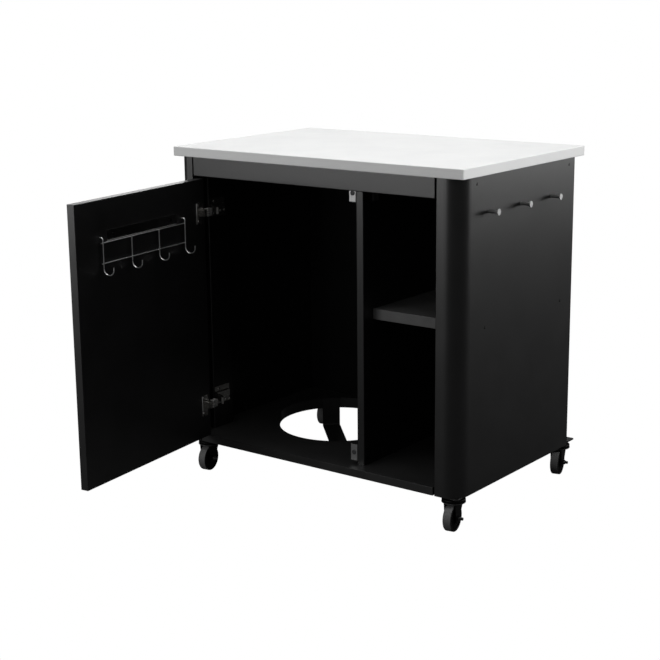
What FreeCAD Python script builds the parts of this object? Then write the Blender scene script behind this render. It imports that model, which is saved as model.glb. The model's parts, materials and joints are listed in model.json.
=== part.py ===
# Grill cart with storage: a steel cabinet on four swivel casters under a pale worktop.
# Left of a divider is a bay with a door for the gas bottle, right of it an open bay with a shelf.
# +X is the cart's right side, +Y its rear and +Z up.
# The origin is the middle of the worktop's top face. Heights in the sheet count from the floor.
import FreeCAD, Part
import math
import os
import re
import Sketcher

doc = FreeCAD.newDocument("grill_cart")
sheet = doc.addObject("Spreadsheet::Sheet", "sizes")

sizes = {
    # the whole cart: worktop, and where the cabinet's outer faces lie
    "cart_height": 903.5,
    "slab_length": 908,
    "slab_depth": 590,
    "slab_thick": 25,
    "slab_corner": 4,
    "slab_edge": 2,
    "under_height": 90.5,
    "left_inset": 10,
    "right_inset": 18,
    "front_face": 277,
    "rear_face": 277,
    # folded sheet steel
    "sheet_thick": 1.5,
    "skin_thick": 1.2,
    "bend": 2.5,
    "fit_gap": 0.5,
    # side panels: rounded front posts, a lip folded back behind each, a rear flange
    "right_post_round": 48,
    "left_post_round": 22,
    "right_post_edge": 367.5,
    "left_post_edge": 403,
    "post_lip": 16,
    "rear_flange": 22,
    "post_gap": 4,
    # rails under the worktop
    "apron_height": 52.6,
    "apron_depth": 28,
    "rail_height": 30,
    "rail_width": 24,
    # floor tray, an upturned pan with the bottle's hole
    "tray_rise": 21,
    "notch_gap": 3,
    "least_round": 1.5,
    "least_inner": 0.5,
    "hole_radius": 163,
    "hole_across": -150,
    "hole_back": 18,
    # collar round the rear of the hole, and the sling strap under it
    "collar_height": 28,
    "collar_thick": 2,
    "collar_angle_start": 55,
    "collar_angle_sweep": 150,
    "strap_width": 50.5,
    "strap_thick": 3,
    "strap_height": 59.5,
    "strap_bend": 6,
    "strap_angle": -46,
    "strap_foot": 30,
    "strap_inset": 0.1,
    # rear foot plate, which reaches out behind the cabinet
    "ledge_past": 21,
    "ledge_start": 258,
    "ledge_end": 340,
    "ledge_thick": 3,
    # divider and shelf
    "divider_middle": 119,
    "divider_thick": 22,
    "shelf_front": 199,
    "shelf_rise": 407,
    "shelf_drop": 27,
    # door, hung on concealed hinges and standing open
    "door_angle": 83.05,
    "axis_across": 399,
    "axis_front": 279,
    "door_edge_gap": 3,
    "door_recess": 11,
    "door_thick": 22,
    "door_clear": 4,
    "catch_gap": 3,
    "door_skin": 1.2,
    "liner_thick": 1,
    # concealed hinges and the rail that carries them
    "hinge_rail_front": 218,
    "hinge_rail_rear": 140,
    "hinge_end": 89.5,
    "cup_radius": 17.5,
    "cup_depth": 11,
    "cup_edge": 20.5,
    "flange_height": 58,
    "flange_width": 16,
    "flange_round": 3,
    "flange_thick": 1.2,
    "link_height": 19,
    "link_thick": 12.5,
    "link_past_edge": 7,
    "link_setback": 2.5,
    "link_round": 2,
    "link_groove": 1.6,
    "link_groove_depth": 1.5,
    "link_groove_step": 5.5,
    "tail_past_edge": 23,
    "tail_height": 11,
    "tail_thick": 8,
    "crank_inner": 58.5,
    "crank_thick": 5.5,
    "crank_angle": 40,
    "crank_height": 18,
    "arm_front": 217,
    "arm_rear": 160,
    "plate_front": 216,
    "plate_rear": 156,
    "plate_height": 50,
    "plate_thick": 2,
    # hook rack on the door's inner face
    "rack_near": 115,
    "rack_far": 399,
    "rack_drop": 76.4,
    "rack_height": 26,
    "rack_screw_in": 24,
    "rack_thick": 1.5,
    "wire_radius": 1.5,
    "wire_stand": 10,
    "wire_spread": 52,
    "hook_first": 88,
    "hook_spacing": 111.6,
    "hook_drop": 26.8,
    "hook_reach": 30,
    "hook_round": 14.5,
    "hook_tip": 20.8,
    "wire_rise": 12,
    "rail_over": 3,
    # magnetic catches on the divider
    "upper_catch_in": 6.9,
    "lower_catch_in": 27.5,
    "catch_width": 20,
    "catch_height": 43,
    "catch_leg": 26,
    "catch_thick": 1.5,
    "magnet_radius": 6,
    "magnet_stand": 1.5,
    "magnet_length": 9,
    "magnet_groove": 0.8,
    "bolt_back": 13,
    "bolt_half": 12.8,
    # angle bracket on the divider's right face
    "bracket_front": 200,
    "bracket_rear": 177,
    "bracket_height": 86,
    "bracket_reach": 26,
    # side pegs, screws
    "peg_drop": 91,
    "peg_spacing": 152,
    "peg_radius": 4.25,
    "peg_length": 27,
    "peg_head": 8.25,
    "peg_round": 1.2,
    "peg_disc": 3,
    "stud_radius": 2.5,
    "stud_length": 7,
    "screw_radius": 2,
    "screw_length": 6,
    "screw_head": 4.4,
    "screw_dome": 2.4,
    "flat_dome": 1.6,
    "screw_past": 3,
    "hole_clear": 0.1,
    "cut_reach": 5,
    "screw_drop": 18.5,
    "screw_front": 206,
    "screw_rear": 245,
    "shelf_screw_front": 162,
    "shelf_screw_rear": 213.5,
    "rear_screw_in": 12,
    "rear_screw_end": 33,
    # swivel casters
    "caster_across": 403,
    "caster_front": 242,
    "caster_rear": 291,
    "front_caster_angle": 8.5,
    "rear_caster_angle": 13,
    "corner_half": 28,
    "wheel_radius": 35,
    "wheel_width": 23,
    "tyre_round": 3,
    "tyre_inner": 31,
    "hub_radius": 9,
    "web_width": 19,
    "rim_thick": 2.5,
    "rim_inset": 1,
    "axle_radius": 4,
    "axle_nut": 6.5,
    "axle_nut_width": 8,
    "axle_end": 5.8,
    "run_gap": 0.05,
    "side_gap": 0.4,
    "fork_gap": 1.2,
    "trail": 8,
    "cheek_thick": 3,
    "cheek_boss": 12,
    "cheek_half": 25,
    "canopy_radius": 30,
    "canopy_drop": 9,
    "canopy_wall": 2.5,
    "canopy_top": 5,
    "canopy_round": 2,
    "mount_radius": 18,
    "mount_thick": 3,
    "king_radius": 7,
    "king_head": 11,
    "king_head_thick": 3,
    "bolt_radius": 5,
    "bolt_past": 2,
    "nut_radius": 9.2,
    "nut_height": 8,
}

for row, (name, value) in enumerate(sizes.items(), start=1):
    sheet.set(f"A{row}", name)
    sheet.set(f"B{row}", str(value))
    sheet.setAlias(f"B{row}", name)
doc.recompute()

word = re.compile(r"[a-z][a-z_]*")


# Text of a size formula with every size name pointing at the sheet.
def bound(text):
    return word.sub(lambda hit: "sizes." + hit.group() if hit.group() in sizes else hit.group(), text)


def number(text):
    return float(doc.getObject("meter").evalExpression(bound(text)))


doc.addObject("App::FeaturePython", "meter")

# Places that several pieces share, as formulas of the sizes above.
slab_under = "(cart_height - slab_thick)"
apron_bottom = "(cart_height - slab_thick - apron_height)"
divider_top = "(cart_height - slab_thick - rail_height)"
tray_top = "(under_height + tray_rise)"
shelf_top = "(under_height + tray_rise + shelf_rise)"
inner_bend = "(bend - sheet_thick)"
back_sheet = "(rear_face - 2 * sheet_thick)"
left_face = "(slab_length / 2 - left_inset)"
right_face = "(slab_length / 2 - right_inset)"
left_wall = f"({left_face} - sheet_thick)"
right_wall = f"({right_face} - sheet_thick)"
divider_left = "(divider_middle - divider_thick / 2)"
divider_right = "(divider_middle + divider_thick / 2)"
divider_front = "(front_face - door_recess - door_thick - catch_gap)"
door_outer = "(axis_front - front_face + door_recess)"
door_inner = "(axis_front - front_face + door_recess + door_thick)"
door_far = "(" + divider_right + " + axis_across)"
door_low = "(" + tray_top + " + door_clear)"
door_high = "(" + apron_bottom + " - door_clear)"
upper_hinge = "(" + door_high + " - hinge_end)"
lower_hinge = "(" + door_low + " + hinge_end)"
upper_catch = "(" + door_high + " - upper_catch_in)"
lower_catch = "(" + door_low + " + lower_catch_in)"
rack_top = "(" + door_high + " - rack_drop)"
top_wire = "(" + rack_top + " - rack_height)"
low_wire = "(" + top_wire + " - wire_spread)"
hook_bottom = "(" + low_wire + " - hook_drop)"
peg_height = "(" + slab_under + " - peg_drop)"
caster_top = "(under_height - ledge_thick)"
parts = []


# Puts a piece at a place given from the floor, turned about the upright axis.
def place(piece, across="0", back="0", up="0", turn="0", listed=True):
    piece.setExpression(".Placement.Base.x", bound(across))
    piece.setExpression(".Placement.Base.y", bound(back))
    piece.setExpression(".Placement.Base.z", bound(f"{up} - cart_height"))
    piece.setExpression(".Placement.Rotation.Angle", bound(turn))
    piece.Label = piece.Name
    if listed:
        parts.append(piece)
    return piece


# The door's pieces are drawn with the door shut, from the hinge axis, and turned open together.
def hang(piece):
    return place(piece, "-axis_across", "-axis_front", "0", "-door_angle")


def plane_of(body, role):
    return [feature for feature in body.Origin.OriginFeatures if feature.Role == role][0]


def new_sketch(body, role, lift):
    sketch = body.newObject("Sketcher::SketchObject", body.Name + "_sketch")
    sketch.AttachmentSupport = [(plane_of(body, role), "")]
    sketch.MapMode = "FlatFace"
    sketch.setExpression("AttachmentOffset.Base.z", bound(lift))
    return sketch


def bind(sketch, kind, spots, text):
    index = sketch.addConstraint(Sketcher.Constraint(kind, *spots, number(text)))
    sketch.setExpression(f"Constraints[{index}]", bound(text))


# A line through corners (x, y) or (x, y, rounding), every corner tied to the sheet.
# A rounded corner lies between two stretches that run along the sketch's axes.
def outline(body, role, corners, lift="0", closed=True):
    sketch = new_sketch(body, role, lift)
    count = len(corners)
    points = [(number(corner[0]), number(corner[1])) for corner in corners]
    stretches = []
    for index, corner in enumerate(corners):
        if len(corner) < 3:
            stretches.append((corner[:2], corner[:2], None, None))
            continue
        here = points[index]
        before = points[index - 1]
        after = points[(index + 1) % count]
        came = math.dist(before, here)
        goes = math.dist(here, after)
        enter = [round((here[axis] - before[axis]) / came) for axis in (0, 1)]
        leave = [round((after[axis] - here[axis]) / goes) for axis in (0, 1)]
        start = [f"{corner[axis]} - ({enter[axis]}) * ({corner[2]})" for axis in (0, 1)]
        end = [f"{corner[axis]} + ({leave[axis]}) * ({corner[2]})" for axis in (0, 1)]
        stretches.append((start, end, corner[2], enter[0] * leave[1] - enter[1] * leave[0]))
    pieces = []
    for index, (start, end, radius, turn) in enumerate(stretches):
        first = FreeCAD.Vector(number(start[0]), number(start[1]), 0)
        last = FreeCAD.Vector(number(end[0]), number(end[1]), 0)
        if radius:
            size = number(radius)
            corner = points[index]
            middle = first + last - FreeCAD.Vector(corner[0], corner[1], 0)
            from_angle = math.atan2(first.y - middle.y, first.x - middle.x)
            to_angle = math.atan2(last.y - middle.y, last.x - middle.x)
            round_edge = Part.Circle(middle, FreeCAD.Vector(0, 0, 1), size)
            if turn > 0:
                arc = sketch.addGeometry(Part.ArcOfCircle(round_edge, from_angle, to_angle))
                pieces.append((arc, 1, 2, start, end, radius))
            else:
                arc = sketch.addGeometry(Part.ArcOfCircle(round_edge, to_angle, from_angle))
                pieces.append((arc, 2, 1, start, end, radius))
        if index == count - 1 and not closed:
            continue
        coming = stretches[(index + 1) % count][0]
        target = FreeCAD.Vector(number(coming[0]), number(coming[1]), 0)
        line = sketch.addGeometry(Part.LineSegment(last, target))
        pieces.append((line, 1, 2, end, coming, None))
    for index, (edge, begin, finish, start, end, radius) in enumerate(pieces):
        bind(sketch, "DistanceX", (-1, 1, edge, begin), start[0])
        bind(sketch, "DistanceY", (-1, 1, edge, begin), start[1])
        if radius:
            bind(sketch, "Radius", (edge,), radius)
        if index == len(pieces) - 1 and not closed:
            bind(sketch, "DistanceX", (-1, 1, edge, finish), end[0])
            bind(sketch, "DistanceY", (-1, 1, edge, finish), end[1])
        else:
            following = pieces[(index + 1) % len(pieces)]
            sketch.addConstraint(Sketcher.Constraint("Coincident", edge, finish, following[0], following[1]))
    return sketch


def circles(body, role, rings, lift="0"):
    sketch = new_sketch(body, role, lift)
    for across, up, radius in rings:
        middle = FreeCAD.Vector(number(across), number(up), 0)
        ring = sketch.addGeometry(Part.Circle(middle, FreeCAD.Vector(0, 0, 1), number(radius)))
        bind(sketch, "DistanceX", (-1, 1, ring, 3), across)
        bind(sketch, "DistanceY", (-1, 1, ring, 3), up)
        bind(sketch, "Radius", (ring,), radius)
    return sketch


# Corners of a folded sheet from the line along one of its faces.
# side is 1 where the sheet lies left of the line and -1 where it lies right of it.
def folded(line, thick, side):
    points = [(number(corner[0]), number(corner[1])) for corner in line]
    ways = []
    for here, after in zip(points, points[1:]):
        span = math.dist(here, after)
        ways.append((round((after[0] - here[0]) / span), round((after[1] - here[1]) / span)))
    back = []
    for index, corner in enumerate(line):
        near = ways[max(index - 1, 0)]
        next_way = ways[min(index, len(ways) - 1)]
        normals = [(-way[1] * side, way[0] * side) for way in (near, next_way)]
        straight = near == next_way
        push = [normals[0][axis] if straight else normals[0][axis] + normals[1][axis] for axis in (0, 1)]
        spot = [f"{corner[axis]} + ({push[axis]}) * ({thick})" for axis in (0, 1)]
        if len(corner) == 3:
            turn = near[0] * next_way[1] - near[1] * next_way[0]
            spot.append(f"{corner[2]} - ({turn * side}) * ({thick})")
        back.append(tuple(spot))
    return list(line) + back[::-1]


def body(name):
    return doc.addObject("PartDesign::Body", name)


def pad(owner, sketch, length, backwards=False, centred=False):
    feature = owner.newObject("PartDesign::Pad", owner.Name + "_pad")
    feature.Profile = sketch
    feature.setExpression("Length", bound(length))
    feature.Reversed = backwards
    feature.Midplane = centred
    doc.recompute()
    return feature


# Cuts, and makes sure that the cut has taken something away.
def pocket(owner, sketch, length=None, backwards=False, centred=False):
    before = owner.Shape.Volume
    feature = owner.newObject("PartDesign::Pocket", owner.Name + "_pocket")
    feature.Profile = sketch
    if length:
        feature.setExpression("Length", bound(length))
    else:
        feature.Type = "ThroughAll"
    feature.Reversed = backwards
    feature.Midplane = centred
    doc.recompute()
    if not owner.Shape.Volume < before:
        raise ValueError(f"{owner.Name}: the pocket took nothing away")
    return feature


def turned(owner, sketch, axis):
    feature = owner.newObject("PartDesign::Revolution", owner.Name + "_turn")
    feature.Profile = sketch
    feature.ReferenceAxis = (sketch, [axis])
    feature.Angle = 360
    doc.recompute()
    return feature


def box(name, length, width, height, across, back, up):
    piece = doc.addObject("Part::Box", name)
    for side, text in (("Length", length), ("Width", width), ("Height", height)):
        piece.setExpression(side, bound(text))
    return place(piece, across, back, up, listed=False)


def rectangle(low_x, low_y, high_x, high_y, rounding=None):
    corners = [(low_x, low_y), (high_x, low_y), (high_x, high_y), (low_x, high_y)]
    return [corner + (rounding,) for corner in corners] if rounding else corners


# Worktop slab with eased edges.
worktop = body("worktop")
half_length = "slab_length / 2"
half_depth = "slab_depth / 2"
plan = rectangle(f"-{half_length}", f"-{half_depth}", half_length, half_depth, "slab_corner")
slab = pad(worktop, outline(worktop, "XY_Plane", plan), "slab_thick")
eased = worktop.newObject("PartDesign::Fillet", "worktop_edges")
rims = []
for index, edge in enumerate(slab.Shape.Edges, start=1):
    if edge.BoundBox.ZLength < number("slab_thick") / 2:
        rims.append(f"Edge{index}")
eased.Base = (slab, rims)
eased.setExpression("Radius", bound("slab_edge"))
place(worktop, up=slab_under)


# Folded side panel: lip, front return, rounded post, side and rear flange in one sheet.
def side_panel(name, sign, face, post_edge, post_round):
    panel = body(name)
    line = [
        (f"{sign} * {post_edge}", "post_lip - front_face"),
        (f"{sign} * {post_edge}", "-front_face", "bend"),
        (f"{sign} * {face}", "-front_face", post_round),
        (f"{sign} * {face}", "rear_face", "bend"),
        (f"{sign} * ({face} - rear_flange)", "rear_face"),
    ]
    pad(panel, outline(panel, "XY_Plane", folded(line, "sheet_thick", sign)), f"{slab_under} - under_height")
    return place(panel, up="under_height")


right_side_panel = side_panel("right_side_panel", 1, right_face, "right_post_edge", "right_post_round")
left_side_panel = side_panel("left_side_panel", -1, left_face, "left_post_edge", "left_post_round")
screw_hole = "screw_radius + hole_clear"
rail_screw = f"{slab_under} - screw_drop"
shelf_screw = f"{shelf_top} - shelf_drop / 2"
peg_hole = "stud_radius + hole_clear"
rail_spots = [("-screw_front", rail_screw), ("screw_rear", rail_screw)]
shelf_spots = [("-shelf_screw_front", shelf_screw), ("shelf_screw_rear", shelf_screw)]
peg_places = {"front": "-peg_spacing", "middle": "0", "rear": "peg_spacing"}
rear_spots = ["under_height + rear_screw_end", f"(under_height + {slab_under}) / 2",
              f"{slab_under} - rear_screw_end"]


# Round holes through a sheet that faces left and right; heights are given from the floor.
def side_holes(owner, spots, radius, base, side):
    rings = [(back, f"{up} - {base}", radius) for back, up in spots]
    rightwards = number(side) > 0
    lift = f"{side} - cut_reach" if rightwards else f"{side} + cut_reach"
    pocket(owner, circles(owner, "YZ_Plane", rings, lift=lift), "2 * cut_reach", backwards=rightwards)


def rear_holes(owner, across_list, base, face):
    rings = [(across, f"{up} - {base}", screw_hole) for across in across_list for up in rear_spots]
    lift = f"-({face}) - cut_reach"
    pocket(owner, circles(owner, "XZ_Plane", rings, lift=lift), "2 * cut_reach", backwards=True)


side_holes(right_side_panel, rail_spots + shelf_spots, screw_hole, "under_height", right_face)
side_holes(right_side_panel, [(back, peg_height) for back in peg_places.values()], peg_hole,
           "under_height", right_face)
side_holes(left_side_panel, rail_spots, screw_hole, "under_height", f"-{left_face}")
rear_right = f"{right_face} - rear_screw_in"
rear_left = f"rear_screw_in - {left_face}"
rear_holes(right_side_panel, [rear_right], "under_height", "rear_face")
rear_holes(left_side_panel, [rear_left], "under_height", "rear_face")

# Back panel, flat against the front of the rear flanges.
back_panel = body("back_panel")
plan = rectangle(f"{inner_bend} - {left_wall}", back_sheet, f"{right_wall} - {inner_bend}",
                 f"{back_sheet} + sheet_thick")
pad(back_panel, outline(back_panel, "XY_Plane", plan), f"{slab_under} - under_height")
rear_holes(back_panel, [rear_right, rear_left], "under_height", "rear_face - sheet_thick")
place(back_panel, up="under_height")


# Apron and rails that carry the worktop, folded in the plane across their length.
def rail(name, role, line, side, length, lift, backwards=False):
    piece = body(name)
    pad(piece, outline(piece, role, folded(line, "sheet_thick", side), lift=lift), length, backwards)
    return place(piece)


apron_line = [
    ("apron_depth - front_face", apron_bottom),
    ("-front_face", apron_bottom, "bend"),
    ("-front_face", slab_under, "bend"),
    ("apron_depth - front_face", slab_under),
]
opening_left = "(-left_post_edge + post_gap)"
opening_right = "(right_post_edge - post_gap)"
rail("front_apron", "YZ_Plane", apron_line, -1, f"{opening_right} - {opening_left}", opening_left)
rear_line = [
    (back_sheet, f"{slab_under} - rail_height"),
    (back_sheet, slab_under, "bend"),
    (f"{back_sheet} - rail_width", slab_under),
]
rear_rail_left = f"(rail_width - {left_wall} + fit_gap)"
rear_rail_right = f"({right_wall} - rail_width - fit_gap)"
rail("rear_top_rail", "YZ_Plane", rear_line, 1, f"{rear_rail_right} - {rear_rail_left}", rear_rail_left)
rail_from = "front_face - right_post_round - fit_gap"
for name, sign, wall in (("right_top_rail", 1, right_wall), ("left_top_rail", -1, left_wall)):
    side_line = [
        (f"{sign} * {wall}", f"{slab_under} - rail_height"),
        (f"{sign} * {wall}", slab_under, "bend"),
        (f"{sign} * ({wall} - rail_width)", slab_under),
    ]
    side_rail = rail(name, "XZ_Plane", side_line, sign, f"{rail_from} + {back_sheet} - fit_gap",
                     rail_from, backwards=True)
    side_holes(side_rail, rail_spots, screw_hole, "0", f"{sign} * {wall}")

# Floor tray: an upturned pan whose front lip runs between the posts.
base_tray = body("base_tray")
tray_front = "-front_face"
tray_step = "(post_lip + notch_gap - front_face)"
right_round = "max(least_round; right_post_round - post_lip - notch_gap)"
left_round = "max(least_round; left_post_round - post_lip - notch_gap)"


# The tray's plan, drawn in from its outer faces by inset.
def tray_plan(inset):
    left, right = f"({opening_left} + {inset})", f"({opening_right} - {inset})"
    front, step = f"({tray_front} + {inset})", f"({tray_step} + {inset})"
    wall_left, wall_right = f"(-{left_wall} + {inset})", f"({right_wall} - {inset})"
    rear = f"({back_sheet} - {inset})"
    return [
        (left, front), (right, front), (right, step),
        (wall_right, step, f"max(least_inner; {right_round} - {inset})"), (wall_right, rear),
        (wall_left, rear), (wall_left, step, f"max(least_inner; {left_round} - {inset})"), (left, step),
    ]


pad(base_tray, outline(base_tray, "XY_Plane", tray_plan("0")), "tray_rise")
pocket(base_tray, outline(base_tray, "XY_Plane", tray_plan("sheet_thick")), "tray_rise - sheet_thick",
       backwards=True)
pocket(base_tray, circles(base_tray, "XY_Plane", [("hole_across", "hole_back", "hole_radius")]),
       "tray_rise", backwards=True)
place(base_tray, up="under_height")

# Collar: a sector of a thin ring standing on the tray at the hole's rim.
ring = []
for part_name, radius in (("collar_outer", "hole_radius + collar_thick"), ("collar_inner", "hole_radius")):
    piece = doc.addObject("Part::Cylinder", part_name)
    piece.setExpression("Radius", bound(radius))
    piece.setExpression("Height", bound("collar_height"))
    ring.append(piece)
ring[0].setExpression("Angle", bound("collar_angle_sweep"))
bottle_collar = doc.addObject("Part::Cut", "bottle_collar")
bottle_collar.Base, bottle_collar.Tool = ring
place(bottle_collar, "hole_across", "hole_back", tray_top, "collar_angle_start")

# Sling strap: a flat bar down from the collar, across under the hole and up to the tray's underside.
bottle_strap = body("bottle_strap")
strap_side = "(sqrt(hole_radius ^ 2 - (strap_width / 2) ^ 2) - strap_inset)"
strap_low = "(strap_height - strap_thick)"
strap_line = [
    (f"-{strap_side}", f"{tray_top} + collar_height"),
    (f"-{strap_side}", strap_low, "strap_bend"),
    (strap_side, strap_low, "strap_bend"),
    (strap_side, f"{tray_top} - sheet_thick - strap_thick", "strap_bend"),
    (f"{strap_side} + strap_foot", f"{tray_top} - sheet_thick - strap_thick"),
]
pad(bottle_strap, outline(bottle_strap, "XZ_Plane", folded(strap_line, "strap_thick", 1)),
    "strap_width", centred=True)
place(bottle_strap, "hole_across", "hole_back", "0", "strap_angle")

# Rear foot plate: lies under the cabinet's back edge and carries the rear casters behind it.
rear_ledge = body("rear_ledge")
ledge_half = "(caster_across + ledge_past)"
plan = rectangle(f"-{ledge_half}", "ledge_start", ledge_half, "ledge_end", "slab_corner")
pad(rear_ledge, outline(rear_ledge, "XY_Plane", plan), "ledge_thick")
rings = [(f"{sign} * caster_across", "caster_rear", "bolt_radius + hole_clear") for sign in (1, -1)]
pocket(rear_ledge, circles(rear_ledge, "XY_Plane", rings), "ledge_thick", backwards=True)
place(rear_ledge, up=caster_top)

# Divider: one sheet folded round its front edge into two skins.
divider_panel = body("divider_panel")
line = [
    (divider_left, back_sheet),
    (divider_left, f"-{divider_front}", "bend"),
    (divider_right, f"-{divider_front}", "bend"),
    (divider_right, back_sheet),
]
pad(divider_panel, outline(divider_panel, "XY_Plane", folded(line, "skin_thick", 1)),
    f"{divider_top} - {tray_top}")
catch_spots = []
for middle in (upper_catch, lower_catch):
    for sign in (-1, 1):
        catch_spots.append((f"bolt_back - {divider_front}", f"{middle} + {sign} * bolt_half"))
rings = [(back, f"{up} - {tray_top}", screw_hole) for back, up in catch_spots]
pocket(divider_panel, circles(divider_panel, "YZ_Plane", rings, lift=divider_left + " - cut_reach"),
       "divider_thick + 2 * cut_reach", backwards=True)
place(divider_panel, up=tray_top)

# Shelf: a sheet with all four edges folded down, cut from a block with the corners of the folds.
shelf = body("shelf")
plan = rectangle(divider_right, "-shelf_front", right_wall, back_sheet)
pad(shelf, outline(shelf, "XY_Plane", plan), "shelf_drop")
inner = rectangle(f"{divider_right} + skin_thick", "skin_thick - shelf_front",
                  f"{right_wall} - skin_thick", f"{back_sheet} - skin_thick")
pocket(shelf, outline(shelf, "XY_Plane", inner), "shelf_drop - skin_thick", backwards=True)
side_holes(shelf, shelf_spots, screw_hole, f"({shelf_top} - shelf_drop)", right_wall)
place(shelf, up=f"{shelf_top} - shelf_drop")

# Folded rail on the left panel that carries the hinges level with the post's inner edge.
hinge_rail = body("hinge_rail")
line = [
    (f"-{left_wall}", "-hinge_rail_front"),
    ("-left_post_edge", "-hinge_rail_front", "bend"),
    ("-left_post_edge", "-hinge_rail_rear", "bend"),
    (f"-{left_wall}", "-hinge_rail_rear"),
]
pad(hinge_rail, outline(hinge_rail, "XY_Plane", folded(line, "sheet_thick", 1)),
    f"{divider_top} - {tray_top}")
place(hinge_rail, up=tray_top)


# Cabinet half of a concealed hinge: plate, arm and cranked end round the door's turning axis.
def hinge_mount(name, middle):
    low = f"({middle} - crank_height / 2)"
    plate = box(name + "_plate", "plate_thick", "plate_front - plate_rear", "plate_height",
                "-left_post_edge", "-plate_front", f"{middle} - plate_height / 2")
    arm = box(name + "_arm", "crank_thick + plate_thick", "arm_front - arm_rear",
              "crank_height", "-left_post_edge", "-arm_front", low)
    rim = []
    for part_name, radius in (("_outer", "crank_inner + crank_thick"), ("_inner", "crank_inner")):
        piece = doc.addObject("Part::Cylinder", name + part_name)
        piece.setExpression("Radius", bound(radius))
        piece.setExpression("Height", bound("crank_height"))
        piece.setExpression("Angle", bound("90 - crank_angle"))
        rim.append(place(piece, "-axis_across", "-axis_front", low, "crank_angle", listed=False))
    crank = doc.addObject("Part::Cut", name + "_crank")
    crank.Base, crank.Tool = rim
    mount = doc.addObject("Part::MultiFuse", name)
    mount.Shapes = [plate, arm, crank]
    mount.Label = name
    parts.append(mount)


hinges = {"upper": upper_hinge, "lower": lower_hinge}
for where, middle in hinges.items():
    hinge_mount(f"hinge_mount_{where}", middle)

# Door: a folded pan closed by a liner, with a bored seat for each hinge cup.
door_panel = body("door_panel")
plan = rectangle("door_edge_gap", door_outer, door_far, door_inner, "door_skin")
pad(door_panel, outline(door_panel, "XY_Plane", plan, lift=door_low), f"{door_high} - {door_low}")
inner = rectangle("door_edge_gap + door_skin", f"{door_low} + door_skin",
                  f"{door_far} - door_skin", f"{door_high} - door_skin")
pocket(door_panel, outline(door_panel, "XZ_Plane", inner, lift=f"-{door_inner}"),
       "door_thick - door_skin", backwards=True)
hang(door_panel)

cup_middle = "(door_edge_gap + cup_edge)"
door_liner = body("door_liner")
liner_gap = "(door_skin + 2 * hole_clear)"
plan = rectangle(f"door_edge_gap + {liner_gap}", f"{door_inner} - liner_thick",
                 f"{door_far} - {liner_gap}", door_inner)
pad(door_liner, outline(door_liner, "XY_Plane", plan, lift=f"{door_low} + {liner_gap}"),
    f"{door_high} - {door_low} - 2 * {liner_gap}")
rings = [(cup_middle, middle, "cup_radius + hole_clear") for middle in hinges.values()]
pocket(door_liner, circles(door_liner, "XZ_Plane", rings, lift=f"-{door_inner} - 1"),
       "liner_thick + 2", backwards=True)
hang(door_liner)


# Door half of a concealed hinge: cup, screwed flange, grooved link box and the tail behind it.
def hinge_cup(name, middle):
    cup = body(name)
    face = f"-{door_inner}"
    pad(cup, circles(cup, "XZ_Plane", [(cup_middle, middle, "cup_radius")], lift=face), "cup_depth")
    flange = rectangle(f"{cup_middle} - flange_width / 2", f"{middle} - flange_height / 2",
                       f"{cup_middle} + flange_width / 2", f"{middle} + flange_height / 2", "flange_round")
    pad(cup, outline(cup, "XZ_Plane", flange, lift=face), "flange_thick", backwards=True)
    link_face = f"({face} - flange_thick)"
    far, near = f"({cup_middle} - link_setback)", "(door_edge_gap - link_past_edge)"
    link = rectangle(near, f"{middle} - link_height / 2", far, f"{middle} + link_height / 2", "link_round")
    pad(cup, outline(cup, "XZ_Plane", link, lift=link_face), "link_thick", backwards=True)
    tail = rectangle("door_edge_gap - tail_past_edge", f"{middle} - tail_height / 2",
                     f"{near} + link_round", f"{middle} + tail_height / 2")
    tail_face = f"{link_face} - (link_thick - tail_thick) / 2"
    pad(cup, outline(cup, "XZ_Plane", tail, lift=tail_face), "tail_thick", backwards=True)
    for step in (-1, 0, 1):
        low = f"({middle} + {step} * link_groove_step - link_groove / 2)"
        groove = rectangle(f"{near} + link_round", low, f"{far} + link_setback", f"{low} + link_groove")
        pocket(cup, outline(cup, "XZ_Plane", groove, lift=f"{link_face} - link_thick"), "link_groove_depth",
               backwards=True)
    hang(cup)


for where, middle in hinges.items():
    hinge_cup(f"hinge_cup_{where}", middle)

# Hook rack: a flat plate, and wires that stand off it and end in open hooks.
rack_plate = body("hook_rack_plate")
plan = rectangle(f"{door_far} - rack_far", door_inner, f"{door_far} - rack_near",
                 f"{door_inner} + rack_thick")
pad(rack_plate, outline(rack_plate, "XY_Plane", plan, lift=top_wire), "rack_height")
hang(rack_plate)
wire_line = f"({door_inner} + wire_stand)"


def pipe(owner, section, path):
    feature = owner.newObject("PartDesign::AdditivePipe", owner.Name + "_pipe")
    feature.Profile = section
    feature.Spine = path
    doc.recompute()
    return feature


# One hook wire: down past both rails, round and up again; the end ones also bend back to the door.
def hook_wire(name, across, returns):
    wire = body(name)
    section = circles(wire, "XY_Plane", [(across, wire_line, "wire_radius")], lift=top_wire)
    tip = f"({wire_line} + hook_reach)"
    path = outline(wire, "YZ_Plane", [
        (wire_line, top_wire),
        (wire_line, hook_bottom, "hook_round"),
        (tip, hook_bottom, "hook_round"),
        (tip, f"{hook_bottom} + hook_tip"),
    ], lift=across, closed=False)
    pipe(wire, section, path)
    if returns:
        section = circles(wire, "XY_Plane", [(across, wire_line, "wire_radius")], lift=top_wire)
        path = outline(wire, "YZ_Plane", [
            (wire_line, top_wire),
            (wire_line, f"{top_wire} + wire_rise", "wire_rise / 2"),
            (door_inner, f"{top_wire} + wire_rise"),
        ], lift=across, closed=False)
        pipe(wire, section, path)
    hang(wire)


last_hook = 3
for step in range(last_hook + 1):
    hook_wire(f"rack_hook_{step + 1}", f"({door_far} - hook_first - {step} * hook_spacing)", step in (0, last_hook))

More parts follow.
